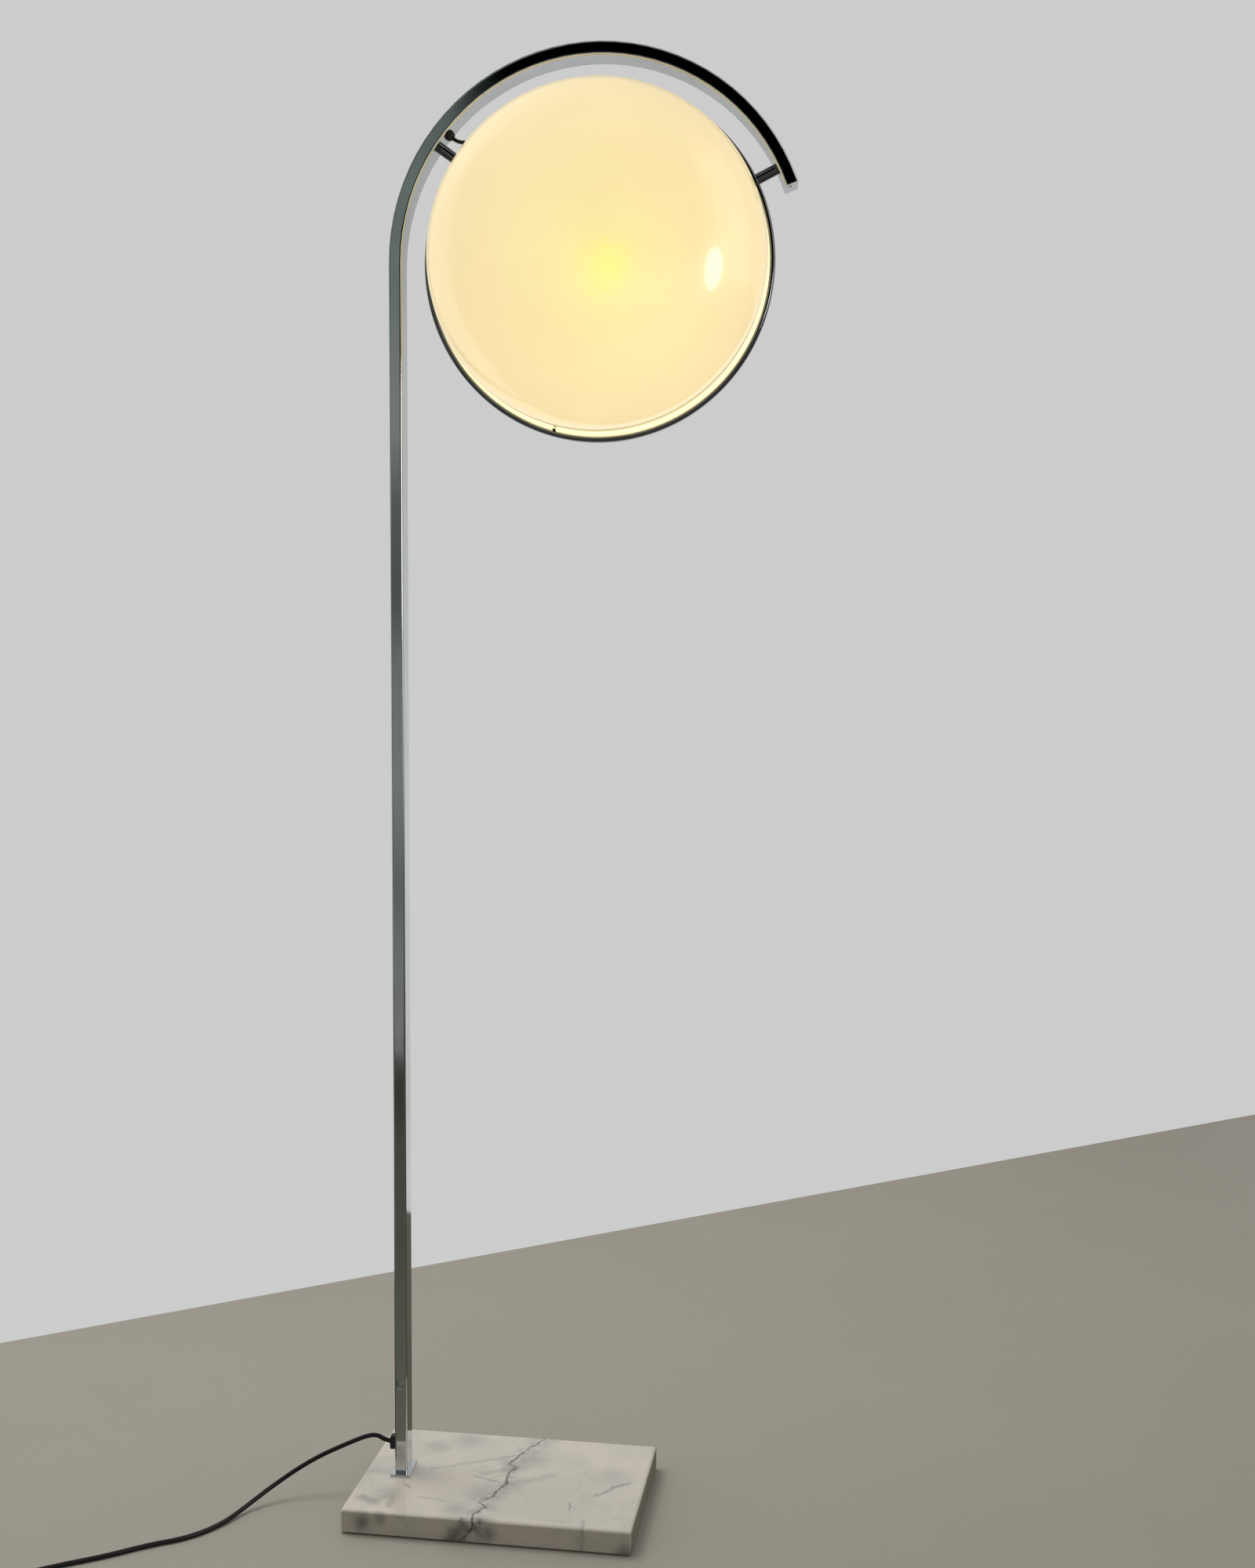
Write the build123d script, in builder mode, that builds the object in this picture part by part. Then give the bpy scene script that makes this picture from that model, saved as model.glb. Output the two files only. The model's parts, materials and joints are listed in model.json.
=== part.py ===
"""Arc floor lamp with a marble base, a bent chromed tube and a round two-dome shade.

Every physical piece is one STEP file in parts/.  Millimetres, Z up.  The origin is the
centre of the felt on the floor.  The arc stands in the X-Z direction and the shade's axis
runs along Y, with the front dome towards -Y.
"""

import os
from math import cos, radians, sin, tan

from build123d import *

os.makedirs("parts", exist_ok=True)

# ---------------------------------------------------------------- driving dimensions
total_height = 1550.0

slab_length = 312.0
slab_depth = 204.0
slab_thickness = 25.0
slab_edge = 3.5
felt_thickness = 2.0
felt_inset = 4.0
base_turn = -4.4  # the slab is clamped by one bolt and stands a little askew
pole_from_slab_end = 41.0

tube_width = 14.0  # across the arc
tube_depth = 30.0  # front to back
tube_wall = 1.5
tube_corner = 2.5
arc_outer_radius = 218.0
arc_end_angle = 21.0

foot_plate_size = (22.0, 42.0, 2.5)
foot_block_height = 18.0
bolt_dia = 8.0

gland_height = 58.5
gland_size = (7.5, 12.0, 15.0)
lead_dia = 3.8
grommet_angle = 140.0
lead_bend_radius = 193.5  # where the link lead turns towards the ring
lead_inside = (-103.0, 121.0)  # from the shade's centre

ring_outer_radius = 182.0
ring_wall = 5.0
ring_depth = 12.0
ring_round = 3.0
rib_height = 7.0
rib_thickness = 3.0
rod_dia = 11.0
rod_angles = {"rod_left": 144.5, "rod_right": 27.0}
rod_screw_dia = 5.0

dome_radius = 174.0
dome_skirt = 34.0  # straight part, from the ring's middle
dome_depth = 118.0  # whole depth, from the ring's middle
dome_wall = 3.0
flange_radius = 176.5
flange_front = 7.5
clip_angles = (-105.0, 75.0)
clip_width = 3.4

bar_height = 104.0  # underside of the bridge bar above the shade's centre
bar_size = (12.0, 3.0)

cord_dia = 5.0
cord_floor = 2.6  # height of the cord's centre where it lies on the floor
coil_mid_radius = 28.0
coil_bundle_radius = 8.0
switch_size = (76.0, 38.0, 20.0)
switch_joint_height = 8.0
button_dia = 25.2
plug_size = (36.0, 26.0, 13.6)
relief_length = 22.0

# ---------------------------------------------------------------- derived places
slab_top = felt_thickness + slab_thickness
foot_top = slab_top + foot_plate_size[2]
turn = radians(base_turn)
pole_local = pole_from_slab_end - slab_length / 2
pole_x = pole_local * cos(turn)
pole_y = pole_local * sin(turn)
arc_mid_radius = arc_outer_radius - tube_width / 2
arc_inner_radius = arc_outer_radius - tube_width
arc_x = pole_x + arc_mid_radius
arc_z = total_height - arc_outer_radius
bore_radius = ring_outer_radius - ring_wall
rib_radius = bore_radius - rib_height

slab_plane = Plane(origin=(0, 0, 0), x_dir=(cos(turn), sin(turn), 0), z_dir=(0, 0, 1))
pole_plane = Plane(origin=(pole_x, pole_y, 0), x_dir=(1, 0, 0), z_dir=(0, 0, 1))
arc_plane = Plane(origin=(arc_x, pole_y, arc_z), x_dir=(1, 0, 0), z_dir=(0, -1, 0))
shade_axis = Axis((arc_x, pole_y, arc_z), (0, 1, 0))
lamp_axis = Axis((arc_x, pole_y, arc_z), (0, 0, 1))
front_section = Plane(origin=(arc_x, pole_y, arc_z), x_dir=(1, 0, 0), z_dir=(0, 0, -1))
rear_section = Plane(origin=(arc_x, pole_y, arc_z), x_dir=(1, 0, 0), z_dir=(0, 0, 1))


def outward(angle, radius):
    """Plane square to a radius of the arc, facing away from the shade's centre."""
    a = radians(angle)
    origin = (arc_x + radius * cos(a), pole_y, arc_z + radius * sin(a))
    return Plane(origin=origin, x_dir=(0, 1, 0), z_dir=(cos(a), 0, sin(a)))


def inward(angle, radius):
    """Plane square to a radius of the arc, facing the shade's centre."""
    a = radians(angle)
    origin = (arc_x + radius * cos(a), pole_y, arc_z + radius * sin(a))
    return Plane(origin=origin, x_dir=(0, 1, 0), z_dir=(-cos(a), 0, -sin(a)))


def polar(radius, angle):
    """Point in the arc plane's own coordinates."""
    return (radius * cos(radians(angle)), radius * sin(radians(angle)))


lead_bend = polar(lead_bend_radius, grommet_angle)
lead_heading = Vector(lead_inside[0] - lead_bend[0], 0, lead_inside[1] - lead_bend[1])
lead_way_plane = Plane(
    origin=(arc_x + lead_bend[0], pole_y, arc_z + lead_bend[1]),
    x_dir=(0, 1, 0),
    z_dir=lead_heading,
)


def save(builder, name):
    """Label the finished piece and write its STEP file."""
    builder.part.label = name
    export_step(builder.part, f"parts/{name}.step")


# ---------------------------------------------------------------- base
# Marble slab: soft top edges, a bolt hole and a recess for the bolt head underneath.
with BuildPart() as marble_slab:
    with BuildSketch(slab_plane.offset(felt_thickness)):
        RectangleRounded(slab_length, slab_depth, slab_edge)
    extrude(amount=slab_thickness)
    fillet(marble_slab.faces().sort_by(Axis.Z)[-1].edges(), slab_edge)
    chamfer(marble_slab.faces().sort_by(Axis.Z)[0].edges(), 1.0)
    with BuildSketch(pole_plane.offset(felt_thickness)):
        Circle((bolt_dia + 2.5) / 2)
    extrude(amount=slab_thickness, mode=Mode.SUBTRACT)
    with BuildSketch(pole_plane.offset(felt_thickness)):
        Circle(20)
    extrude(amount=10, mode=Mode.SUBTRACT)
save(marble_slab, "marble_slab")

# Felt glued under the slab, open around the recess.
with BuildPart() as base_felt:
    with BuildSketch(slab_plane):
        RectangleRounded(slab_length - 2 * felt_inset, slab_depth - 2 * felt_inset, slab_edge)
    extrude(amount=felt_thickness)
    with BuildSketch(pole_plane):
        Circle(21)
    extrude(amount=felt_thickness, mode=Mode.SUBTRACT)
save(base_felt, "base_felt")

# Small plate between the slab and the tube's foot.
with BuildPart() as foot_plate:
    with BuildSketch(pole_plane.offset(slab_top)):
        RectangleRounded(foot_plate_size[0], foot_plate_size[1], 1.5)
    extrude(amount=foot_plate_size[2])
    fillet(foot_plate.faces().sort_by(Axis.Z)[-1].edges(), 0.6)
    with BuildSketch(pole_plane.offset(slab_top)):
        Circle((bolt_dia + 0.5) / 2)
    extrude(amount=foot_plate_size[2], mode=Mode.SUBTRACT)
save(foot_plate, "foot_plate")

# Threaded steel block welded into the foot of the tube.
with BuildPart() as foot_block:
    with BuildSketch(pole_plane.offset(foot_top)):
        RectangleRounded(tube_width - 2 * tube_wall, tube_depth - 2 * tube_wall, 1.0)
        Circle(bolt_dia / 2, mode=Mode.SUBTRACT)
    extrude(amount=foot_block_height)
save(foot_block, "foot_block")

# Wide washer against the roof of the recess.
recess_roof = felt_thickness + 10
with BuildPart() as clamp_washer:
    with BuildSketch(pole_plane.offset(recess_roof - 2.5)):
        Circle(17)
        Circle((bolt_dia + 0.5) / 2, mode=Mode.SUBTRACT)
    extrude(amount=2.5)
save(clamp_washer, "clamp_washer")

# M8 hexagon bolt from below, up into the threaded block.
with BuildPart() as clamp_bolt:
    with BuildSketch(pole_plane.offset(recess_roof - 2.5 - 5.3)):
        RegularPolygon(6.5, 6, major_radius=False)
    extrude(amount=5.3)
    chamfer(clamp_bolt.faces().sort_by(Axis.Z)[0].edges(), 0.6)
    with BuildSketch(pole_plane.offset(recess_roof - 2.5)):
        Circle(bolt_dia / 2)
    extrude(amount=foot_top + foot_block_height - 4 - recess_roof + 2.5)
save(clamp_bolt, "clamp_bolt")

# ---------------------------------------------------------------- bent tube
# One rectangular tube: straight pole, then a circular arc over the shade.
with BuildPart() as arc_tube:
    with BuildLine(arc_plane) as tube_path:
        Line((-arc_mid_radius, foot_top - arc_z), (-arc_mid_radius, 0))
        CenterArc((0, 0), arc_mid_radius, 180, arc_end_angle - 180)
    with BuildSketch(pole_plane.offset(foot_top)):
        RectangleRounded(tube_width, tube_depth, tube_corner)
        RectangleRounded(
            tube_width - 2 * tube_wall, tube_depth - 2 * tube_wall, 1.0, mode=Mode.SUBTRACT
        )
    sweep(path=tube_path.wires()[0])
    gland_start = (pole_x - tube_width / 2 - 1, pole_y, gland_height)
    with BuildSketch(Plane(origin=gland_start, x_dir=(0, 1, 0), z_dir=(1, 0, 0))):
        Circle(4)
    extrude(amount=1 + tube_wall + 1, mode=Mode.SUBTRACT)
    for angle in rod_angles.values():
        with BuildSketch(outward(angle, arc_inner_radius - 1)):
            Circle(3)
        extrude(amount=1 + tube_wall + 1, mode=Mode.SUBTRACT)
    with BuildSketch(outward(grommet_angle, arc_inner_radius - 1)):
        Circle(3.5)
    extrude(amount=1 + tube_wall + 1, mode=Mode.SUBTRACT)
save(arc_tube, "arc_tube")

# Chromed plug closing the end of the arc, with its small drain hole.
end = radians(arc_end_angle)
end_origin = (arc_x + arc_mid_radius * cos(end), pole_y, arc_z + arc_mid_radius * sin(end))
end_plane = Plane(
    origin=end_origin, x_dir=(cos(end), 0, sin(end)), z_dir=(sin(end), 0, -cos(end))
)
with BuildPart() as tube_end_cap:
    with BuildSketch(end_plane):
        RectangleRounded(tube_width, tube_depth, tube_corner)
    extrude(amount=1.5)
    fillet(tube_end_cap.faces().sort_by(Axis(end_origin, end_plane.z_dir))[-1].edges(), 0.5)
    with BuildSketch(end_plane):
        RectangleRounded(tube_width - 2 * tube_wall - 0.6, tube_depth - 2 * tube_wall - 0.4, 0.8)
    extrude(amount=-6)
    with BuildSketch(end_plane.offset(1.5)):
        with Locations((-1.4, 6)):
            Circle(1.7)
    extrude(amount=-7.5, mode=Mode.SUBTRACT)
save(tube_end_cap, "tube_end_cap")

# ---------------------------------------------------------------- shade ring
# Slim ring with a rounded outer rim and a stop rib in the middle of its bore.
with BuildPart() as shade_ring:
    with BuildSketch(rear_section) as rim_section:
        with Locations((ring_outer_radius - ring_wall / 2, 0)):
            Rectangle(ring_wall, ring_depth)
        fillet(rim_section.vertices().group_by(Axis.X)[-1], ring_round)
        fillet(rim_section.vertices().group_by(Axis.X)[0], 0.6)
        with Locations((rib_radius + rib_height / 2 + 0.5, 0)):
            Rectangle(rib_height + 1, rib_thickness)
    revolve(axis=shade_axis)
    for angle in rod_angles.values():
        with BuildSketch(outward(angle, rib_radius - 1)):
            Circle(6.5)
        extrude(amount=rib_height + 1, mode=Mode.SUBTRACT)
        with BuildSketch(outward(angle, bore_radius - 1)):
            Circle(4.7)
        extrude(amount=1.3, mode=Mode.SUBTRACT)
        with Locations(inward(angle, bore_radius + 0.3)):
            CounterSinkHole(rod_screw_dia / 2 + 0.15, 4.7, depth=10, counter_sink_angle=90)
    with BuildSketch(lead_way_plane.offset(14)):
        Circle(lead_dia / 2 + 1)
    extrude(amount=30, mode=Mode.SUBTRACT)
save(shade_ring, "shade_ring")

# Two short rods brazed into the tube's inner wall, coped over the ring's rim.
for name, angle in rod_angles.items():
    with BuildPart() as rod:
        with BuildSketch(outward(angle, ring_outer_radius - 3)):
            Circle(rod_dia / 2)
        extrude(amount=arc_inner_radius - ring_outer_radius + 4)
        with BuildSketch(outward(angle, arc_inner_radius)):
            Circle(3)
        extrude(amount=tube_wall)
        add(shade_ring.part, mode=Mode.SUBTRACT)
        add(arc_tube.part, mode=Mode.SUBTRACT)
        with BuildSketch(outward(angle, ring_outer_radius - 4)):
            Circle(rod_screw_dia / 2)
        extrude(amount=14, mode=Mode.SUBTRACT)
        with BuildSketch(outward(angle, ring_outer_radius - 4)):
            Circle(rod_screw_dia / 2 + 0.6)
        extrude(amount=4, mode=Mode.SUBTRACT)
    save(rod, name)

# Countersunk screws from inside the ring into the rods.
with BuildPart() as rod_screws:
    for angle in rod_angles.values():
        with BuildSketch(outward(angle, bore_radius + 0.3)):
            Circle(4.5)
        with BuildSketch(outward(angle, bore_radius + 2.3)):
            Circle(rod_screw_dia / 2)
        loft()
        with BuildSketch(outward(angle, bore_radius + 1)):
            Circle(rod_screw_dia / 2)
        extrude(amount=13)
        with BuildSketch(outward(angle, bore_radius + 0.3)):
            Rectangle(9, 1)
        extrude(amount=0.8, mode=Mode.SUBTRACT)
save(rod_screws, "rod_screws")

# ---------------------------------------------------------------- opal domes
def clip_plane(angle, section):
    """Plane square to the shade's axis, turned so that its Y points outward at the angle."""
    forward = section.y_dir.Y
    a = radians(angle)
    x_dir = Vector(0, forward, 0).cross(Vector(cos(a), 0, sin(a))) * -1
    return Plane(origin=(arc_x, pole_y, arc_z), x_dir=x_dir, z_dir=(0, forward, 0))


def dome_curve(radius, height):
    """Quarter ellipse from the end of the skirt to the dome's nose."""
    angles = [radians(a) for a in range(0, 91, 15)]
    points = [(radius * cos(a), dome_skirt + height * sin(a)) for a in angles]
    Spline(*points, tangents=((0, 1), (-1, 0)))


# Each dome has a stepped rim: a skirt inside the ring, a narrow flange and a thin groove.
rise = dome_depth - dome_skirt
inner_radius = dome_radius - dome_wall
rim_points = [
    (inner_radius, dome_skirt),
    (inner_radius, 4.5),
    (flange_radius - dome_wall, 4.5),
    (flange_radius - dome_wall, rib_thickness / 2),
    (flange_radius, rib_thickness / 2),
    (flange_radius, flange_front - 1),
    (flange_radius - 1, flange_front),
    (dome_radius + 0.7, flange_front),
    (dome_radius + 0.7, flange_front - 0.8),
    (dome_radius, flange_front - 0.8),
    (dome_radius, dome_skirt),
]
for name, section in {"front": front_section, "rear": rear_section}.items():
    with BuildPart() as notches:
        for angle in clip_angles:
            with BuildSketch(clip_plane(angle, section)):
                with Locations((0, flange_radius + 0.5)):
                    Rectangle(clip_width, 4)
        extrude(amount=9)
        with BuildSketch(lead_way_plane.offset(10)):
            Circle(lead_dia / 2 + 2)
        extrude(amount=24)
    with BuildPart() as diffuser:
        with BuildSketch(section):
            with BuildLine():
                Polyline(*rim_points)
                dome_curve(dome_radius, rise)
                Line((0, dome_depth), (0, dome_depth - dome_wall))
                dome_curve(inner_radius, rise - dome_wall)
            make_face()
        revolve(axis=shade_axis)
        add(notches.part, mode=Mode.SUBTRACT)
    save(diffuser, f"{name}_diffuser")

    # Small dark spring catches seated in the notches of the flange.
    with BuildPart() as clips:
        for angle in clip_angles:
            with BuildSketch(clip_plane(angle, section).offset(2)):
                with Locations((0, flange_radius - 0.75)):
                    Rectangle(clip_width, 1.5)
        extrude(amount=flange_front - 2 + 0.6)
        for angle in clip_angles:
            with BuildSketch(clip_plane(angle, section).offset(flange_front)):
                with Locations((0, flange_radius - 1.05)):
                    Rectangle(clip_width, 2.1)
        extrude(amount=0.6)
    save(clips, f"{name}_clips")

# ---------------------------------------------------------------- lampholder
# Flat bar brazed across the ring above its centre, coped to the stop rib.
with BuildPart() as bridge_bar:
    with BuildSketch(arc_plane):
        with Locations((0, bar_height + bar_size[1] / 2)):
            Rectangle(2 * rib_radius, bar_size[1])
    extrude(amount=bar_size[0] / 2, both=True)
    with BuildSketch(arc_plane):
        Circle(rib_radius)
    extrude(amount=bar_size[0], both=True, mode=Mode.INTERSECT)
    with Locations((arc_x, pole_y, arc_z + bar_height)):
        Cylinder(5.1, 20, mode=Mode.SUBTRACT)
save(bridge_bar, "bridge_bar")


def turned(points):
    """Solid of revolution about the lamp's upright axis from (radius, height) points."""
    with BuildPart() as piece:
        with BuildSketch(arc_plane):
            with BuildLine():
                Polyline(*points, close=True)
            make_face()
        revolve(axis=lamp_axis)
    return piece


# Hollow threaded nipple, its nut, and the lampholder hanging from it.
save(turned([(3.5, 96), (5, 96), (5, 114), (3.5, 114)]), "nipple")

with BuildPart() as nipple_nut:
    nut_bottom = bar_height + bar_size[1]
    with BuildSketch(Plane(origin=(arc_x, pole_y, arc_z + nut_bottom))):
        RegularPolygon(7, 6, major_radius=False)
        Circle(5, mode=Mode.SUBTRACT)
    extrude(amount=4)
save(nipple_nut, "nipple_nut")

cap_points = [(5, 104), (12, 104), (19.5, 98), (19.5, 84), (17.5, 84), (17.5, 97)]
save(turned(cap_points + [(11.2, 102), (5, 102)]), "lampholder_cap")

shell_points = [(13.7, 48), (19.5, 48), (19.5, 84), (17.5, 84), (17.5, 79.5), (13.7, 79.5)]
save(turned(shell_points), "lampholder_shell")

save(turned([(0, 79.5), (17.4, 79.5), (17.4, 92), (0, 92)]), "lampholder_core")

with BuildPart() as lampholder_contact:
    with BuildSketch(Plane(origin=(arc_x, pole_y, arc_z + 79))):
        Rectangle(20, 6)
    extrude(amount=0.5)
save(lampholder_contact, "lampholder_contact")

# Bulb hanging with its globe at the shade's centre.
neck_angle = 38


def bulb_profile(globe, neck):
    """Half outline of the bulb's glass, from its tip to the top of its neck."""
    shoulder = polar(globe, neck_angle)
    tangent = (-sin(radians(neck_angle)), cos(radians(neck_angle)))
    CenterArc((0, 0), globe, -90, 90 + neck_angle)
    Spline(shoulder, (neck, 50), tangents=(tangent, (0, 1)))
    Line((neck, 50), (neck, 62))


with BuildPart() as bulb_glass:
    with BuildSketch(arc_plane):
        with BuildLine():
            bulb_profile(30, 12.6)
            Line((12.6, 62), (11.6, 62))
            bulb_profile(29, 11.6)
            Line((0, -29), (0, -30))
        make_face()
    revolve(axis=lamp_axis)
save(bulb_glass, "bulb_glass")

thread_points = [(12.6, 54), (13.2, 54), (13.2, 73), (5, 77), (5, 76.4), (12.6, 72.7)]
save(turned(thread_points), "bulb_cap")
save(turned([(0, 76.4), (5, 76.4), (5, 78), (4, 78.8), (0, 78.8)]), "bulb_contact")

# ---------------------------------------------------------------- cable in the lamp
# Moulded gland in the left face of the tube, a little above the slab.
gland_face = pole_x - tube_width / 2
with BuildPart() as cord_gland:
    gland_plane = Plane(origin=(gland_face, pole_y, gland_height), x_dir=(0, 1, 0), z_dir=(-1, 0, 0))
    with BuildSketch(gland_plane):
        RectangleRounded(gland_size[1], gland_size[2], 3)
    extrude(amount=gland_size[0])
    fillet(cord_gland.faces().sort_by(Axis.X)[0].edges(), 1.5)
    with BuildSketch(gland_plane):
        Circle(3.9)
    extrude(amount=-(tube_wall + 1.5))
    with BuildSketch(gland_plane.offset(gland_size[0])):
        Circle(cord_dia / 2)
    extrude(amount=-5.5, mode=Mode.SUBTRACT)
    with BuildSketch(gland_plane.offset(gland_size[0])):
        Circle(lead_dia / 2)
    extrude(amount=-20, mode=Mode.SUBTRACT)
save(cord_gland, "cord_gland")

# Grommet on the arc's inner face.
with BuildPart() as arc_grommet:
    with BuildSketch(outward(grommet_angle, arc_inner_radius - 4.5)):
        Circle(4)
    with BuildSketch(outward(grommet_angle, arc_inner_radius - 1.5)):
        Circle(5.5)
    loft()
    with BuildSketch(outward(grommet_angle, arc_inner_radius - 1.5)):
        Circle(5.5)
    extrude(amount=2)
    with BuildSketch(outward(grommet_angle, arc_inner_radius)):
        Circle(3.4)
    extrude(amount=tube_wall + 1)
    add(arc_tube.part, mode=Mode.SUBTRACT)
    with BuildSketch(outward(grommet_angle, arc_inner_radius - 6)):
        Circle(lead_dia / 2)
    extrude(amount=12, mode=Mode.SUBTRACT)
save(arc_grommet, "arc_grommet")

# Two-core lead inside the tube, from the gland to the grommet in the arc.
corner_angle = 141.6
lead_start = (-arc_mid_radius - tube_width / 2 - gland_size[0] + 5.5, gland_height - arc_z)
with BuildPart() as inner_lead:
    with BuildLine(arc_plane) as lead_path:
        FilletPolyline(
            lead_start,
            (-arc_mid_radius, gland_height - arc_z),
            (-arc_mid_radius, gland_height - arc_z + 60),
            radius=6,
        )
        Line((-arc_mid_radius, gland_height - arc_z + 60), (-arc_mid_radius, 0))
        CenterArc((0, 0), arc_mid_radius, 180, corner_angle - 180)
        FilletPolyline(
            polar(arc_mid_radius, corner_angle),
            polar(arc_mid_radius / cos(radians(corner_angle - grommet_angle)), grommet_angle),
            polar(arc_inner_radius + 1, grommet_angle),
            radius=3.5,
        )
    start = arc_plane.from_local_coords(Vector(*lead_start))
    with BuildSketch(Plane(origin=start, x_dir=(0, 1, 0), z_dir=(1, 0, 0))):
        Circle(lead_dia / 2)
    sweep(path=lead_path.wires()[0])
save(inner_lead, "inner_lead")


def tangent_radii(points):
    """Fillet radius of each corner: 0.45 of the shorter run over tan(half the turn)."""
    radii = []
    for before, corner, after in zip(points, points[1:], points[2:]):
        run_in = Vector(*corner) - Vector(*before)
        run_out = Vector(*after) - Vector(*corner)
        half_turn = radians(run_in.get_angle(run_out)) / 2
        radii.append(0.45 * min(run_in.length, run_out.length) / tan(half_turn))
    return radii


def tube_along(points, diameter):
    """Round tube whose straight runs are joined by tangent arcs."""
    with BuildPart() as piece:
        with BuildLine() as route:
            FilletPolyline(*points, radius=tangent_radii(points))
        with BuildSketch(Plane(origin=points[0], z_dir=route.wires()[0] % 0)):
            Circle(diameter / 2)
        sweep(path=route.wires()[0])
    length = route.wires()[0].length
    return piece, length


# Thin lead from the grommet in the arc, through the ring, to the lampholder.
link_plan = [polar(arc_inner_radius + 1, grommet_angle), lead_bend, lead_inside]
link_plan += [(-76, 112), (-48, 114), (-26, 127), (-8, 137), (0, 127), (0, 92)]
link_points = [(arc_x + x, pole_y, arc_z + z) for x, z in link_plan]
link_lead, link_length = tube_along(link_points, lead_dia)
save(link_lead, "link_lead")

# ---------------------------------------------------------------- mains cord
# Route of the cord, from the gland over the slab's edge, down and along the floor.
cord_from_pole = [
    (-9, 0, 58.5),
    (-19, 0, 58.5),
    (-32, 0, 67),
    (-57, -1, 57.5),
    (-101, -9, 38.5),
    (-137, -29, 18.5),
    (-163, -60, 5),
    (-178, -94, cord_floor),
    (-204, -125, cord_floor),
    (-240, -143, cord_floor),
    (-276, -169, cord_floor),
    (-317, -191, cord_floor),
    (-352, -214, cord_floor),
    (-372, -243, cord_floor),
    (-374, -270, 4.5),
    (-348, -290, switch_joint_height),
    (-316.5, -290, switch_joint_height),
]
cord_points = [(pole_x + x, pole_y + y, z) for x, y, z in cord_from_pole]
cord_run, cord_length = tube_along(cord_points, cord_dia)
save(cord_run, "cord_run")

# Short stretch of cord between the switch and the coil.
tail_from_pole = [
    (-249.5, -290, switch_joint_height),
    (-223.5, -290, switch_joint_height),
    (-198.5, -302, 5.5),
    (-180, -303, 5),
]
tail_points = [(pole_x + x, pole_y + y, z) for x, y, z in tail_from_pole]
cord_tail, tail_length = tube_along(tail_points, cord_dia)

# ---------------------------------------------------------------- foot switch
switch_x = pole_x - 283
switch_y = pole_y - 290
switch_plane = Plane(origin=(switch_x, switch_y, 0))
inner_size = (switch_size[0] - 6, switch_size[1] - 6)


# Round way for the cord through both end walls, centred on the parting line.
way_start = (switch_x - switch_size[0], switch_y, switch_joint_height)
with BuildPart() as cord_way:
    with BuildSketch(Plane(origin=way_start, x_dir=(0, 1, 0), z_dir=(1, 0, 0))):
        Circle(cord_dia / 2)
    extrude(amount=2 * switch_size[0])

with BuildPart() as switch_base:
    with BuildSketch(switch_plane):
        RectangleRounded(switch_size[0], switch_size[1], 12)
    extrude(amount=switch_joint_height)
    chamfer(switch_base.faces().sort_by(Axis.Z)[0].edges(), 1)
    with BuildSketch(switch_plane.offset(2)):
        RectangleRounded(inner_size[0], inner_size[1], 9)
    extrude(amount=switch_joint_height, mode=Mode.SUBTRACT)
    with BuildSketch(switch_plane):
        with GridLocations(58, 18, 2, 2):
            Circle(3)
    extrude(amount=4)
    with BuildSketch(switch_plane):
        with GridLocations(58, 18, 2, 2):
            Circle(1.5)
    extrude(amount=4, mode=Mode.SUBTRACT)
    with BuildSketch(switch_plane):
        with GridLocations(58, 18, 2, 2):
            Circle(2.6)
    extrude(amount=2, mode=Mode.SUBTRACT)
    add(cord_way.part, mode=Mode.SUBTRACT)
save(switch_base, "switch_base")

with BuildPart() as switch_cover:
    with BuildSketch(switch_plane.offset(switch_joint_height)):
        RectangleRounded(switch_size[0], switch_size[1], 12)
    extrude(amount=switch_size[2] - switch_joint_height)
    fillet(switch_cover.faces().sort_by(Axis.Z)[-1].edges(), 4)
    with BuildSketch(switch_plane.offset(switch_joint_height)):
        RectangleRounded(inner_size[0], inner_size[1], 9)
    extrude(amount=switch_size[2] - switch_joint_height - 2.5, mode=Mode.SUBTRACT)
    with BuildSketch(switch_plane.offset(4)):
        with GridLocations(58, 18, 2, 2):
            Circle(3)
            Circle(1.4, mode=Mode.SUBTRACT)
    extrude(amount=switch_size[2] - 6.5)
    with BuildSketch(switch_plane.offset(switch_joint_height)):
        Circle(button_dia / 2 + 0.4)
    extrude(amount=switch_size[2], mode=Mode.SUBTRACT)
    add(cord_way.part, mode=Mode.SUBTRACT)
save(switch_cover, "switch_cover")

with BuildPart() as switch_core:
    with BuildSketch(switch_plane.offset(2)):
        Rectangle(28, 22)
    extrude(amount=8)
save(switch_core, "switch_core")

with BuildPart() as switch_screws:
    with BuildSketch(switch_plane.offset(0.6)):
        with GridLocations(58, 18, 2, 2):
            Circle(2.5)
    extrude(amount=1.4)
    with BuildSketch(switch_plane.offset(2)):
        with GridLocations(58, 18, 2, 2):
            Circle(1.4)
    extrude(amount=8)
save(switch_screws, "switch_screws")

# Tapered rubber strain reliefs moulded round the cord at both ends of the switch.
with BuildPart() as switch_reliefs:
    for side in (-1, 1):
        wall = Plane(
            origin=(switch_x + side * switch_size[0] / 2, switch_y, switch_joint_height),
            x_dir=(0, 1, 0),
            z_dir=(side, 0, 0),
        )
        with BuildSketch(wall):
            Circle(4.8)
        with BuildSketch(wall.offset(relief_length - 2)):
            Circle(3.4)
        loft()
    add(cord_run.part, mode=Mode.SUBTRACT)
    add(cord_tail.part, mode=Mode.SUBTRACT)
save(switch_reliefs, "switch_reliefs")

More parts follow.
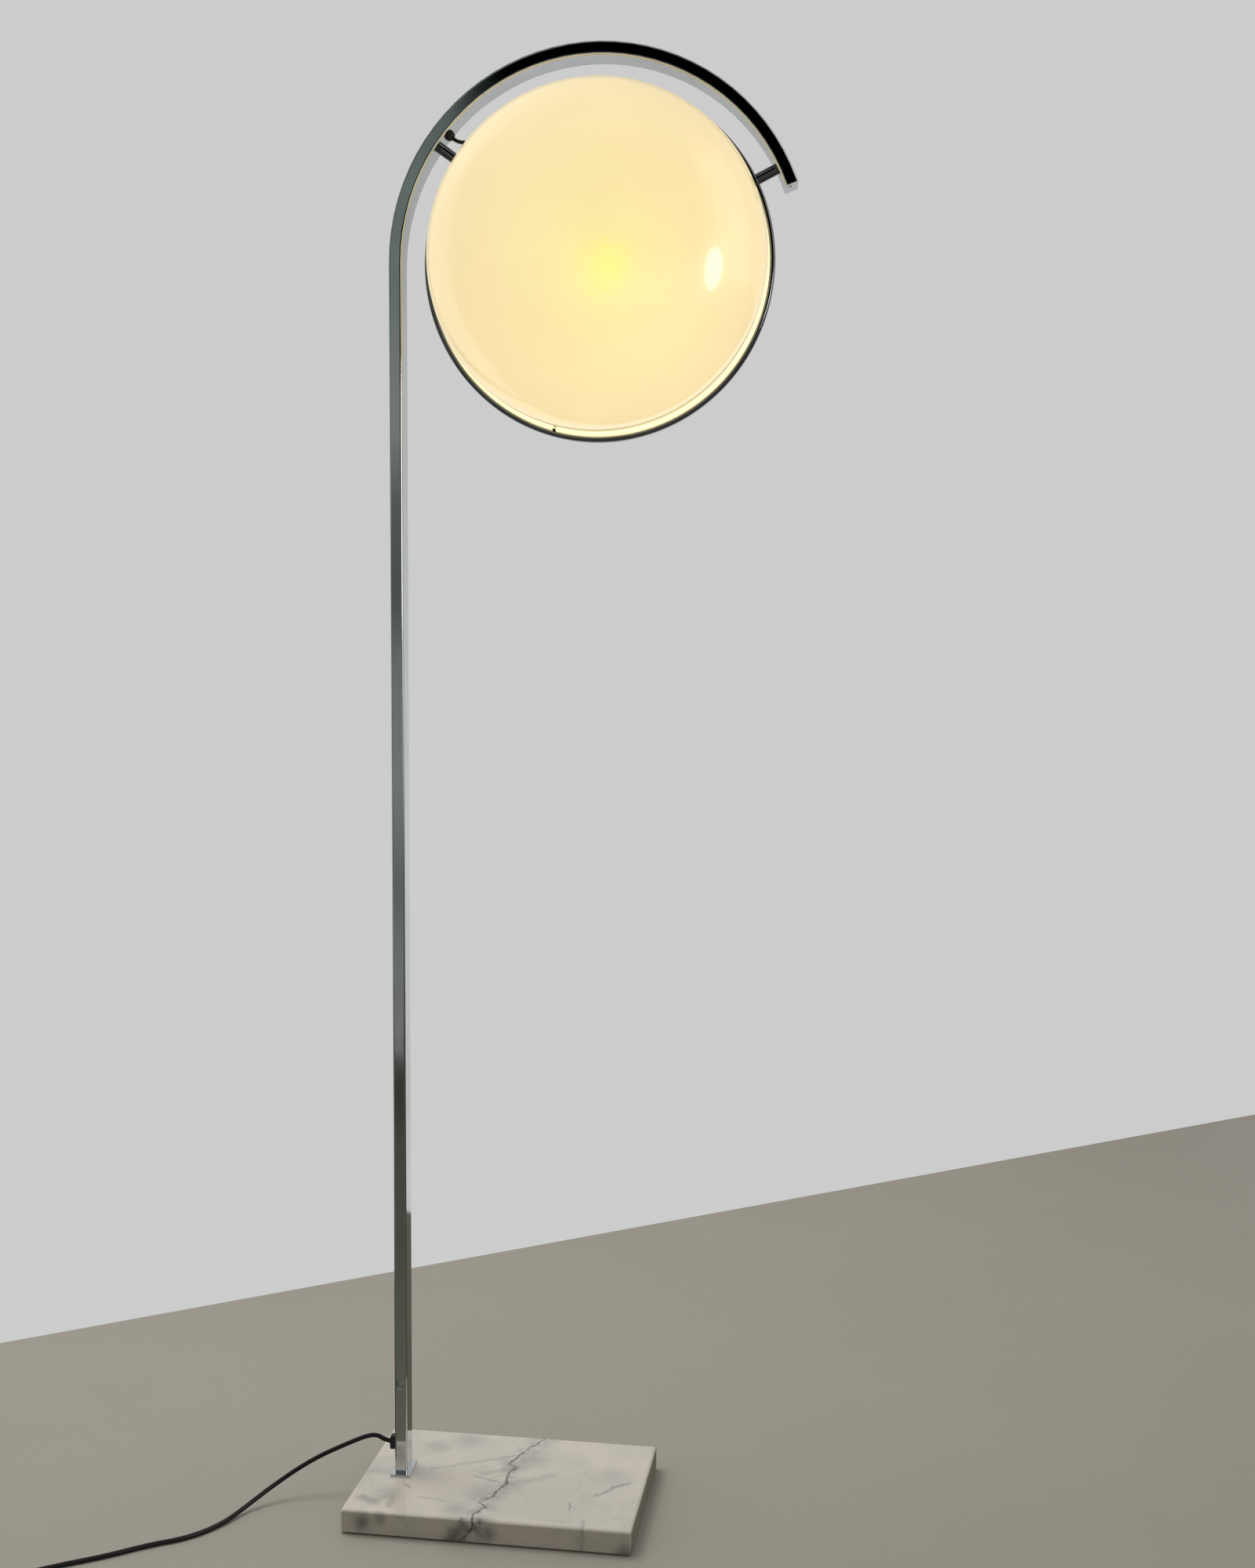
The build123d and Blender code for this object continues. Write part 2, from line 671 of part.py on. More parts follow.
# Round press button, held in by its brim under the cover.
with BuildPart() as switch_button:
    with BuildSketch(switch_plane.offset(switch_size[2] - 2.5 - 1.6)):
        Circle(button_dia / 2 + 1.8)
    extrude(amount=1.5)
    with BuildSketch(switch_plane.offset(13)):
        Circle(button_dia / 2)
    extrude(amount=switch_size[2] + 3 - 13)
    fillet(switch_button.faces().sort_by(Axis.Z)[-1].edges(), 1.8)
save(switch_button, "switch_button")

# ---------------------------------------------------------------- coil and plug
coil_x = pole_x - 180
coil_y = pole_y - 275
with BuildPart() as cord_coil:
    with BuildSketch(Plane(origin=(coil_x, coil_y, 0), x_dir=(1, 0, 0), z_dir=(0, -1, 0))):
        with Locations((coil_mid_radius, coil_bundle_radius)):
            Circle(coil_bundle_radius)
    revolve(axis=Axis((coil_x, coil_y, 0), (0, 0, 1)))
save(cord_coil, "cord_coil")

with BuildPart() as coped_tail:
    add(cord_tail.part)
    add(cord_coil.part, mode=Mode.SUBTRACT)
save(coped_tail, "cord_tail")

plug_x = pole_x - 109
plug_y = pole_y - 297
end_from_pole = [
    (-180, -303, 11),
    (-166, -302.6, 11),
    (-149, -298.5, 9.5),
    (-128, -297, 6.8),
    (-105, -297, 6.8),
]
end_points = [(pole_x + x, pole_y + y, z) for x, y, z in end_from_pole]
cord_end, end_length = tube_along(end_points, cord_dia)
with BuildPart() as coped_end:
    add(cord_end.part)
    add(cord_coil.part, mode=Mode.SUBTRACT)
save(coped_end, "cord_end")

# Flat two-pin plug lying on the floor, its strain relief towards the coil.
plug_middle = plug_size[2] / 2
with BuildPart() as plug_body:
    with BuildSketch(Plane(origin=(plug_x + plug_size[0] / 2, plug_y, 0))):
        RectangleRounded(plug_size[0], plug_size[1], 6)
    extrude(amount=plug_size[2])
    fillet(plug_body.faces().sort_by(Axis.Z)[-1].edges(), 2.5)
    fillet(plug_body.faces().sort_by(Axis.Z)[0].edges(), 2.5)
    relief_plane = Plane(origin=(plug_x, plug_y, plug_middle), x_dir=(0, 1, 0), z_dir=(-1, 0, 0))
    with BuildSketch(relief_plane.offset(-1)):
        Circle(5.5)
    with BuildSketch(relief_plane.offset(relief_length)):
        Circle(3.4)
    loft()
    add(cord_end.part, mode=Mode.SUBTRACT)
    with BuildSketch(Plane(origin=(plug_x + plug_size[0], plug_y, plug_middle), z_dir=(1, 0, 0))):
        with Locations((0, 9.3), (0, -9.3)):
            Circle(2)
    extrude(amount=-8, mode=Mode.SUBTRACT)
save(plug_body, "plug_body")

with BuildPart() as plug_pins:
    with BuildSketch(Plane(origin=(plug_x + plug_size[0] - 8, plug_y, plug_middle), z_dir=(1, 0, 0))):
        with Locations((0, 9.3), (0, -9.3)):
            Circle(2)
    extrude(amount=8 + 19)
    fillet(plug_pins.faces().group_by(Axis.X)[-1].edges(), 0.8)
save(plug_pins, "plug_pins")

# ---------------------------------------------------------------- cord's arcs
for name, points in (("cord_run", cord_points), ("cord_tail", tail_points), ("cord_end", end_points)):
    radii = ", ".join(f"{radius:.1f}" for radius in tangent_radii(points))
    print(f"{name} arc radii mm: {radii}")
print(f"cord lengths mm: run {cord_length:.1f}, tail {tail_length:.1f}, end {end_length:.1f}")
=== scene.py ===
"""Looks of the arc floor lamp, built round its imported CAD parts. Metres, Z up, same frame as the CAD."""

import json
import math

import bmesh
import bpy
from mathutils import Matrix, Vector


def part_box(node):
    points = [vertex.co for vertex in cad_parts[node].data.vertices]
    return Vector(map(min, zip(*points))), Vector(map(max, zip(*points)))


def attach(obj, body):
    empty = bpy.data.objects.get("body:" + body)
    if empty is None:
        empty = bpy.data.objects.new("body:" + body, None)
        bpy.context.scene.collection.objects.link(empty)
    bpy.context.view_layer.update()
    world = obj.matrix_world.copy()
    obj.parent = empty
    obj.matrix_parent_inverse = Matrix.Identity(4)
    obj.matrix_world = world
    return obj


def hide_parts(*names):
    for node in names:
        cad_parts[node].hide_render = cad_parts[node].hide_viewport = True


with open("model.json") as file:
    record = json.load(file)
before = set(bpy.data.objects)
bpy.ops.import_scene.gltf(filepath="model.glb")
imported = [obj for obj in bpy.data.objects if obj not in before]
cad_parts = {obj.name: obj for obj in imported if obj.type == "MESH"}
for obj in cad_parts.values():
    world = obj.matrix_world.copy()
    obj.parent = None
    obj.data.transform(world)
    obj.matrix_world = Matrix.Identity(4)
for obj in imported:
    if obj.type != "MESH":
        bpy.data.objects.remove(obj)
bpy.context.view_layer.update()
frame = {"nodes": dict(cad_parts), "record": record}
scene = bpy.context.scene
scene.view_settings.view_transform = "Standard"

# ---------------------------------------------------------------- places taken from the CAD
tube_low, tube_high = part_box("arc_tube")
pole = Vector((tube_low.x + 0.007, (tube_low.y + tube_high.y) / 2, 0.0))
ring_low, ring_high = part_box("shade_ring")
shade = (ring_low + ring_high) / 2
slab_low, slab_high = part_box("marble_slab")
slab = (slab_low + slab_high) / 2


def at(x, y, z):
    """A point measured from the pole's foot, in millimetres, as a point of the frame."""
    return Vector((pole.x + x / 1000, pole.y + y / 1000, z / 1000))


# ---------------------------------------------------------------- camera
yaw, pitch, roll = math.radians(3.93), math.radians(-5.18), math.radians(0.41)
ahead = Vector((-math.sin(yaw) * math.cos(pitch), math.cos(yaw) * math.cos(pitch), math.sin(pitch)))
right = Vector((math.cos(yaw), math.sin(yaw), 0.0))
above = right.cross(ahead)
side = right * math.cos(roll) + above * math.sin(roll)
up = above * math.cos(roll) - right * math.sin(roll)
camera_data = bpy.data.cameras.new("camera")
camera_data.lens = 38.826
camera_data.sensor_width = 36.0
camera_data.shift_y = 0.04
camera = bpy.data.objects.new("camera", camera_data)
scene.collection.objects.link(camera)
camera.matrix_world = Matrix(
    (
        (side.x, up.x, -ahead.x, pole.x + 0.36804),
        (side.y, up.y, -ahead.y, pole.y - 1.79282),
        (side.z, up.z, -ahead.z, 0.88907),
        (0.0, 0.0, 0.0, 1.0),
    )
)
scene.camera = camera


# ---------------------------------------------------------------- materials
def srgb(r, g, b):
    """A display colour, 0 to 255, as the linear colour that shaders take."""
    parts = [c / 255 for c in (r, g, b)]
    return [c / 12.92 if c <= 0.04045 else ((c + 0.055) / 1.055) ** 2.4 for c in parts] + [1.0]


class Tree:
    """A node tree with short calls for the nodes that the finishes use."""

    def __init__(self, owner):
        owner.use_nodes = True
        self.owner = owner
        self.nodes = owner.node_tree.nodes
        self.links = owner.node_tree.links

    def node(self, kind, **settings):
        made = self.nodes.new("ShaderNode" + kind)
        for name, value in settings.items():
            setattr(made, name, value)
        return made

    def feed(self, socket, value):
        if isinstance(value, bpy.types.NodeSocket):
            self.links.new(value, socket)
        elif value is not None:
            socket.default_value = value

    def math(self, operation, a, b=None, c=None, clamp=False):
        made = self.node("Math", operation=operation, use_clamp=clamp)
        for socket, value in zip(made.inputs, (a, b, c)):
            self.feed(socket, value)
        return made.outputs[0]

    def vector(self, operation, a, b=None, scale=None):
        made = self.node("VectorMath", operation=operation)
        self.feed(made.inputs[0], a)
        self.feed(made.inputs[1], b)
        if scale is not None:
            made.inputs["Scale"].default_value = scale
        return made.outputs["Value" if operation in ("LENGTH", "DOT_PRODUCT", "DISTANCE") else 0]

    def stretch(self, place, sx, sy, sz):
        return self.vector("MULTIPLY", place, (sx, sy, sz))

    def split(self, place):
        made = self.node("SeparateXYZ")
        self.feed(made.inputs[0], place)
        return made.outputs

    def noise(self, place, scale, detail=3.0, roughness=0.5, distortion=0.0):
        made = self.node("TexNoise")
        self.feed(made.inputs["Vector"], place)
        made.inputs["Scale"].default_value = scale
        made.inputs["Detail"].default_value = detail
        made.inputs["Roughness"].default_value = roughness
        made.inputs["Distortion"].default_value = distortion
        return made.outputs[0]

    def cells(self, place, scale, feature="F1"):
        made = self.node("TexVoronoi", feature=feature)
        self.feed(made.inputs["Vector"], place)
        made.inputs["Scale"].default_value = scale
        return made.outputs["Distance"]

    def ramp(self, value, *stops, ease="LINEAR"):
        """Stops are (place, number or colour)."""
        made = self.node("ValToRGB")
        made.color_ramp.interpolation = ease
        line = made.color_ramp.elements
        while len(line) < len(stops):
            line.new(0.5)
        for element, (place, colour) in zip(line, stops):
            element.position = place
            element.color = [colour] * 3 + [1.0] if isinstance(colour, (int, float)) else colour
        self.feed(made.inputs[0], value)
        return made.outputs[0]

    def between(self, value, low, high, out_low=0.0, out_high=1.0, smooth=True):
        made = self.node("MapRange", interpolation_type="SMOOTHSTEP" if smooth else "LINEAR")
        for socket, number in zip(made.inputs, (value, low, high, out_low, out_high)):
            self.feed(socket, number)
        return made.outputs[0]

    def mix(self, share, a, b, blend="MIX"):
        made = self.node("Mix", data_type="RGBA", blend_type=blend)
        self.feed(made.inputs[0], share)
        self.feed(made.inputs[6], a)
        self.feed(made.inputs[7], b)
        return made.outputs[2]

    def bump(self, height, strength, distance, under=None):
        made = self.node("Bump")
        made.inputs["Strength"].default_value = strength
        made.inputs["Distance"].default_value = distance
        self.feed(made.inputs["Height"], height)
        self.feed(made.inputs["Normal"], under)
        return made.outputs[0]


class Finish(Tree):
    """A Principled material whose patterns are placed in the row frame."""

    def __init__(self, name, **fixed):
        super().__init__(bpy.data.materials.new(name))
        self.shader = self.nodes["Principled BSDF"]
        self.place = self.node("TexCoord").outputs["Object"]
        for socket, value in fixed.items():
            self.shader.inputs[socket.replace("_", " ")].default_value = value

    def set(self, **linked):
        for socket, value in linked.items():
            self.feed(self.shader.inputs[socket.replace("_", " ")], value)
        return self.owner

    def wear(self, scale=9.0):
        """Soft blotches from 0 to 1, for handling marks."""
        return self.noise(self.place, scale, 5.0, 0.6)

    def fine(self, scale):
        return self.noise(self.place, scale, 2.0, 0.6)


def marble():
    m = Finish("marble", Specular_IOR_Level=0.5, IOR=1.49, Coat_Weight=0.35, Coat_Roughness=0.08)
    # slab's own axes in millimetres: u along it, v from front to back
    turned = m.node("VectorRotate", rotation_type="Z_AXIS")
    m.feed(turned.inputs["Vector"], m.vector("SUBTRACT", m.place, tuple(slab)))
    turned.inputs["Angle"].default_value = math.radians(4.4)
    own = m.vector("SCALE", turned.outputs[0], scale=1000.0)
    jag = m.node("TexNoise")
    m.feed(jag.inputs["Vector"], own)
    jag.inputs["Scale"].default_value = 0.11
    jag.inputs["Detail"].default_value = 5.0
    jag.inputs["Roughness"].default_value = 0.62
    push = m.vector("SCALE", m.vector("SUBTRACT", jag.outputs["Color"], (0.5, 0.5, 0.5)), scale=9.0)
    rough_place = m.vector("ADD", own, push)
    slow = m.node("TexNoise")
    m.feed(slow.inputs["Vector"], own)
    slow.inputs["Scale"].default_value = 0.018
    slow.inputs["Detail"].default_value = 4.0
    swim = m.vector("SCALE", m.vector("SUBTRACT", slow.outputs["Color"], (0.5, 0.5, 0.5)), scale=55.0)
    soft_place = m.vector("ADD", own, swim)

    u, v, w = m.split(rough_place)
    # the long crack-like vein runs from the back edge to the front edge and down the front face
    course = (
        (-112, -13), (-102, -12), (-92, -15), (-73, -5), (-62, -15), (-48, -3), (-37, -2), (-17, 6),
        (-6, 3), (8, 2), (22, 8), (30, -1), (52, 5), (78, 15), (98, 25), (112, 29),
    )
    line = m.ramp(
        m.between(v, -112, 112, smooth=False), *[((b + 112) / 224, (a + 40) / 80) for b, a in course]
    )
    line_u = m.math("MULTIPLY_ADD", line, 80.0, -40.0)
    sink = m.math("MAXIMUM", m.math("SUBTRACT", 10.0, w), 0.0)
    slant = m.math("MULTIPLY", m.math("MULTIPLY", sink, sink), -0.03)
    on_front = m.between(v, -90, -101)
    line_u = m.math("ADD", line_u, m.math("MULTIPLY", slant, on_front))
    off_line = m.math("ABSOLUTE", m.math("SUBTRACT", u, line_u))
    crack = m.between(off_line, 2.3, 0.4)
    shade_band = m.between(off_line, 24.0, 0.0)
    patchy = m.between(m.noise(own, 0.05, 4.0, 0.6), 0.4, 0.62)
    crack = m.math("MULTIPLY", crack, m.between(m.noise(own, 0.03, 2.0), 0.28, 0.5, 0.35, 1.0))
    front_band = m.math("MULTIPLY", m.between(off_line, 34.0, 4.0), on_front)

    def streak(a, b, width, weight):
        """Darkness from 0 to weight about the straight line from a to b on the slab's top."""
        ab = Vector((b[0] - a[0], b[1] - a[1], 0.0))
        rel = m.vector("SUBTRACT", rough_place, (a[0], a[1], 0.0))
        flat = m.vector("MULTIPLY", rel, (1.0, 1.0, 0.0))
        t = m.math("DIVIDE", m.vector("DOT_PRODUCT", flat, tuple(ab)), ab.length_squared, clamp=True)
        along = m.node("VectorMath", operation="SCALE")
        along.inputs[0].default_value = tuple(ab)
        m.feed(along.inputs["Scale"], t)
        away = m.vector("LENGTH", m.vector("SUBTRACT", flat, along.outputs[0]))
        return m.math("MULTIPLY", m.between(away, width, 0.0), weight)

    streaks = [
        streak((108, -28), (122, -10), 5.0, 0.5),
        streak((120, -8), (138, 6), 4.0, 0.55),
        streak((82, -50), (84, -66), 2.6, 0.45),
        streak((-104, -34), (-96, -42), 2.6, 0.45),
        streak((-110, -62), (-106, -86), 9.0, 0.35),
        streak((-140, -72), (-124, -80), 12.0, 0.4),
        streak((-86, 4), (-40, 28), 3.4, 0.3),
        streak((-40, 28), (2, 52), 5.0, 0.3),
        streak((-34, -4), (-4, -14), 3.2, 0.42),
        streak((-84, -60), (-44, -68), 2.8, 0.3),
        streak((8, 22), (-26, 2), 8.0, 0.25),
        streak((26, -8), (52, 12), 10.0, 0.22),
        streak((104, -104), (103, -84), 4.0, 0.35),
    ]
    grey = streaks[0]
    for more in streaks[1:]:
        grey = m.math("MAXIMUM", grey, more)

    def blot(u0, v0, w0, radius, weight):
        away = m.vector("LENGTH", m.vector("SUBTRACT", rough_place, (u0, v0, w0)))
        return m.math("MULTIPLY", m.between(away, radius, 0.0), weight)

    for more in (
        blot(-132, -104, 0, 16, 0.85),
        blot(-112, -104, 5, 12, 0.6),
        blot(-30, -104, -6, 18, 0.8),
        blot(6, -104, -2, 14, 0.7),
        blot(150, -104, -12, 18, 0.75),
        blot(-60, 82, 12, 34, 0.34),
        blot(-92, 62, 12, 24, 0.3),
        blot(24, 44, 12, 30, 0.3),
        blot(-16, -44, 12, 30, 0.3),
        blot(-34, -82, 12, 24, 0.34),
        blot(120, 20, 12, 30, 0.2),
        blot(-118, -60, 12, 26, 0.28),
        blot(104, -104, 0, 9, 0.3),
        blot(160, 20, -4, 22, 0.35),
    ):
        grey = m.math("MAXIMUM", grey, more)

    clouds = m.between(m.noise(soft_place, 0.016, 5.0, 0.55), 0.40, 0.62)
    wisps = m.cells(m.stretch(soft_place, 1.0, 0.6, 1.0), 0.017, "DISTANCE_TO_EDGE")
    wisp = m.math("MULTIPLY", m.between(wisps, 0.05, 0.0), m.between(clouds, 0.1, 0.8, 0.05, 0.5))
    grain = m.noise(own, 0.9, 2.0, 0.7)
    base = m.mix(clouds, srgb(225, 217, 204), srgb(214, 210, 197))
    base = m.mix(m.math("MULTIPLY", grain, 0.24), base, srgb(236, 227, 213))
    band = m.math("MULTIPLY", shade_band, m.math("MULTIPLY", patchy, 0.62))
    base = m.mix(band, base, srgb(146, 149, 144))
    base = m.mix(m.math("MULTIPLY", wisp, 0.28), base, srgb(158, 160, 152))
    smoke = m.math("MULTIPLY", front_band, m.math("MULTIPLY_ADD", patchy, 0.5, 0.16))
    base = m.mix(smoke, base, srgb(92, 93, 88))
    base = m.mix(grey, base, srgb(104, 108, 104))
    base = m.mix(m.math("MULTIPLY", crack, 0.9), base, srgb(74, 76, 72))
    base = m.mix(m.between(m.noise(own, 0.35, 1.0), 0.76, 0.8, 0.0, 0.5), base, srgb(92, 88, 80))
    # painted shade: the front, back and end faces are darkened, the ends more than the front and back
    side_u, side_v, _ = m.split(own)
    front_side_shade = m.between(m.math("ABSOLUTE", side_v), 101.2, 101.9, 0.0, 0.34)
    end_side_shade = m.between(m.math("ABSOLUTE", side_u), 155.2, 155.9, 0.0, 0.56)
    base = m.mix(m.math("MAXIMUM", front_side_shade, end_side_shade), base, srgb(62, 58, 44))
    rough = m.between(m.noise(own, 0.02, 4.0, 0.6), 0.3, 0.7, 0.24, 0.38)
    dull = m.bump(grain, 0.05, 0.0004)
    pits = m.bump(crack, -0.25, 0.0003, dull)
    return m.set(Base_Color=base, Roughness=rough, Normal=pits)


def felt():
    m = Finish("felt", Sheen_Weight=0.4, Sheen_Roughness=0.6, Specular_IOR_Level=0.2)
    tuft = m.noise(m.place, 900.0, 4.0, 0.75, 1.2)
    strand = m.noise(m.stretch(m.place, 1.0, 1.0, 4.0), 2600.0, 2.0, 0.6, 2.0)
    lint = m.between(m.noise(m.place, 420.0, 1.0), 0.72, 0.76, 0.0, 0.5)
    colour = m.mix(tuft, srgb(14, 14, 13), srgb(52, 50, 47))
    colour = m.mix(lint, colour, srgb(110, 106, 98))
    height = m.math("ADD", tuft, strand)
    return m.set(
        Base_Color=colour, Roughness=m.between(tuft, 0.2, 0.8, 0.86, 1.0), Normal=m.bump(height, 0.8, 0.0006)
    )


def plated(name, bright, dark, rough, wave):
    """Polished plate: long soft waves, hairline rubs and a little haze."""
    m = Finish(name, Metallic=1.0)
    haze = m.wear(14.0)
    rubs = m.noise(m.stretch(m.place, 1.0, 1.0, 0.06), 1500.0, 2.0, 0.6)
    specks = m.between(m.noise(m.place, 700.0, 1.0), 0.74, 0.8)
    rough_map = m.math(
        "ADD", m.between(haze, 0.35, 0.75, rough, rough * 2.2), m.between(rubs, 0.62, 0.8, 0.0, rough * 1.5)
    )
    rough_map = m.math("ADD", rough_map, m.math("MULTIPLY", specks, 0.12))
    colour = m.mix(m.between(haze, 0.4, 0.75), bright, dark)
    waves = m.noise(m.stretch(m.place, 1.0, 1.0, 0.35), 11.0, 2.0, 0.4)
    normal = m.bump(rubs, 0.04, 0.00008, m.bump(waves, wave, 0.002))
    return m.set(Base_Color=colour, Roughness=rough_map, Normal=normal)


def opal():
    m = Finish("opal_acrylic", IOR=1.49, Coat_Weight=1.0, Coat_Roughness=0.035, Coat_IOR=1.49)
    m.shader.inputs["Emission Strength"].default_value = 1.0
    x, y, z = m.split(m.vector("SUBTRACT", m.place, tuple(shade)))
    away = m.math("SQRT", m.math("ADD", m.math("MULTIPLY", x, x), m.math("MULTIPLY", z, z)))
    mottle = m.noise(m.place, 9.0, 3.0, 0.55)
    body = m.ramp(
        m.math("ADD", m.math("DIVIDE", away, 0.176), m.math("MULTIPLY_ADD", mottle, 0.08, -0.04)),
        (0.0, [0.845, 0.70, 0.30, 1.0]),
        (0.5, [0.84, 0.685, 0.315, 1.0]),
        (0.8, [0.82, 0.650, 0.320, 1.0]),
        (1.0, [0.78, 0.620, 0.325, 1.0]),
        ease="B_SPLINE",
    )
    # the lamp inside shows as a small yellow patch below the middle
    near = m.vector("DISTANCE", m.place, (shade.x + 0.017, shade.y - 0.113, shade.z - 0.030))
    heart = m.math("ADD", near, m.math("MULTIPLY_ADD", m.noise(m.place, 42.0, 3.0, 0.5), 0.03, -0.015))
    body = m.mix(m.between(heart, 0.095, 0.0, 0.0, 0.5), body, [0.86, 0.78, 0.24, 1.0])
    body = m.mix(m.between(heart, 0.040, 0.0, 0.0, 0.5), body, [0.90, 0.88, 0.10, 1.0])
    lean = m.math("MULTIPLY_ADD", m.math("SUBTRACT", x, z), 0.62, 1.0)
    lean = m.math("MULTIPLY", lean, m.between(mottle, 0.3, 0.7, 0.98, 1.02))
    rim = m.between(away, 0.1741, 0.1748)
    belt = m.between(m.math("ABSOLUTE", y), 0.036, 0.026, 0.0, 0.6)
    scaled = m.node("VectorMath", operation="SCALE")
    body = m.mix(m.math("MULTIPLY", belt, m.between(away, 0.170, 0.1738)), body, [0.92, 0.78, 0.44, 1.0])
    m.feed(scaled.inputs[0], m.mix(rim, body, [0.95, 0.80, 0.48, 1.0]))
    m.feed(scaled.inputs["Scale"], lean)
    dust = m.noise(m.place, 240.0, 4.0, 0.7)
    colour = m.mix(m.wear(5.0), srgb(206, 198, 176), srgb(198, 190, 166))
    dusty = m.between(dust, 0.66, 0.8, 0.0, 0.12)
    rough = m.math("ADD", m.between(m.wear(12.0), 0.3, 0.7, 0.18, 0.26), dusty)
    ripple = m.bump(m.noise(m.place, 16.0, 2.0), 0.03, 0.001)
    return m.set(
        Base_Color=colour,
        Roughness=rough,
        Emission_Color=scaled.outputs[0],
        Coat_Normal=ripple,
        Normal=ripple,
    )


def brushed():
    m = Finish("zinc_steel", Metallic=1.0)
    lines = m.noise(m.stretch(m.place, 1.0, 1.0, 0.05), 2200.0, 3.0, 0.7)
    spangle = m.cells(m.place, 260.0)
    colour = m.mix(m.between(spangle, 0.1, 0.7), srgb(176, 178, 178), srgb(206, 208, 206))
    colour = m.mix(m.between(m.wear(30.0), 0.55, 0.8, 0.0, 0.5), colour, srgb(150, 146, 136))
    rough = m.between(lines, 0.25, 0.75, 0.24, 0.46)
    return m.set(Base_Color=colour, Roughness=rough, Normal=m.bump(lines, 0.12, 0.0001))


def spring_steel():
    m = Finish("black_spring_steel", Metallic=0.85, Specular_IOR_Level=0.5)
    blued = m.wear(120.0)
    colour = m.mix(blued, srgb(22, 23, 26), srgb(54, 54, 56))
    colour = m.mix(m.between(m.fine(900.0), 0.66, 0.76, 0.0, 0.7), colour, srgb(128, 126, 120))
    return m.set(
        Base_Color=colour,
        Roughness=m.between(blued, 0.3, 0.7, 0.28, 0.5),
        Normal=m.bump(m.fine(1800.0), 0.1, 0.0001),
    )


def brass():
    m = Finish("turned_brass", Metallic=1.0)
    cut = m.noise(m.stretch(m.place, 0.4, 0.4, 6.0), 900.0, 2.0, 0.6)
    tarnish = m.wear(60.0)
    colour = m.mix(m.between(tarnish, 0.4, 0.75), srgb(214, 178, 104), srgb(160, 118, 62))
    rough = m.math("ADD", m.between(tarnish, 0.3, 0.7, 0.18, 0.4), m.between(cut, 0.3, 0.7, 0.0, 0.08))
    return m.set(Base_Color=colour, Roughness=rough, Normal=m.bump(cut, 0.15, 0.0001))


def moulded(name, low, high, grain, rough, bump_depth, sheen=0.0):
    """Black moulded plastic or rubber: spark-eroded grain, handling shine and a few pale scuffs."""
    m = Finish(name, Specular_IOR_Level=0.45, Sheen_Weight=sheen)
    pebble = m.cells(m.place, grain)
    handled = m.wear(38.0)
    scuff = m.between(m.noise(m.stretch(m.place, 1.0, 5.0, 1.0), 170.0, 3.0, 0.7), 0.66, 0.74, 0.0, 0.45)
    colour = m.mix(handled, low, high)
    colour = m.mix(scuff, colour, srgb(84, 83, 80))
    rough_map = m.between(handled, 0.3, 0.72, rough, rough + 0.2)
    rough_map = m.math("ADD", rough_map, m.math("MULTIPLY", scuff, 0.3))
    height = m.math("ADD", m.between(pebble, 0.0, 0.7), m.math("MULTIPLY", m.fine(grain * 1.7), 0.4))
    return m.set(Base_Color=colour, Roughness=rough_map, Normal=m.bump(height, 0.25, bump_depth))


def ceramic():
    m = Finish("glazed_steatite", Coat_Weight=0.8, Coat_Roughness=0.06, IOR=1.55)
    body = m.noise(m.place, 130.0, 4.0, 0.6)
    colour = m.mix(body, srgb(226, 220, 205), srgb(240, 236, 226))
    colour = m.mix(m.between(m.fine(520.0), 0.72, 0.78, 0.0, 0.6), colour, srgb(150, 128, 96))
    crawl = m.bump(m.noise(m.place, 90.0, 2.0), 0.2, 0.0003)
    return m.set(Base_Color=colour, Roughness=m.between(body, 0.3, 0.7, 0.22, 0.4), Normal=crawl)


def bulb_glass():
    m = Finish("frosted_glass", IOR=1.5, Coat_Weight=0.7, Coat_Roughness=0.05)
    m.shader.inputs["Emission Strength"].default_value = 1.6
    x, y, z = m.split(m.vector("SUBTRACT", m.place, tuple(shade)))
    powder = m.noise(m.place, 420.0, 3.0, 0.6)
    height = m.between(z, -0.03, 0.06, smooth=False)
    glow = m.ramp(
        m.math("ADD", height, m.math("MULTIPLY_ADD", powder, 0.06, -0.03)),
        (0.0, [0.95, 0.72, 0.40, 1.0]),
        (0.4, [1.0, 0.84, 0.55, 1.0]),
        (0.72, [0.85, 0.60, 0.31, 1.0]),
        (1.0, [0.30, 0.19, 0.09, 1.0]),
    )
    colour = m.mix(powder, srgb(236, 230, 216), srgb(250, 246, 236))
    return m.set(
        Base_Color=colour,
        Emission_Color=glow,
        Roughness=m.between(powder, 0.3, 0.7, 0.3, 0.45),
        Normal=m.bump(powder, 0.08, 0.0002),
    )


def aluminium():
    m = Finish("rolled_aluminium", Metallic=1.0)
    drawn = m.noise(m.stretch(m.place, 1.0, 1.0, 8.0), 500.0, 2.0, 0.6)
    colour = m.mix(m.wear(90.0), srgb(204, 205, 206), srgb(178, 178, 176))
    return m.set(
        Base_Color=colour, Roughness=m.between(drawn, 0.3, 0.7, 0.22, 0.4), Normal=m.bump(drawn, 0.15, 0.0001)
    )


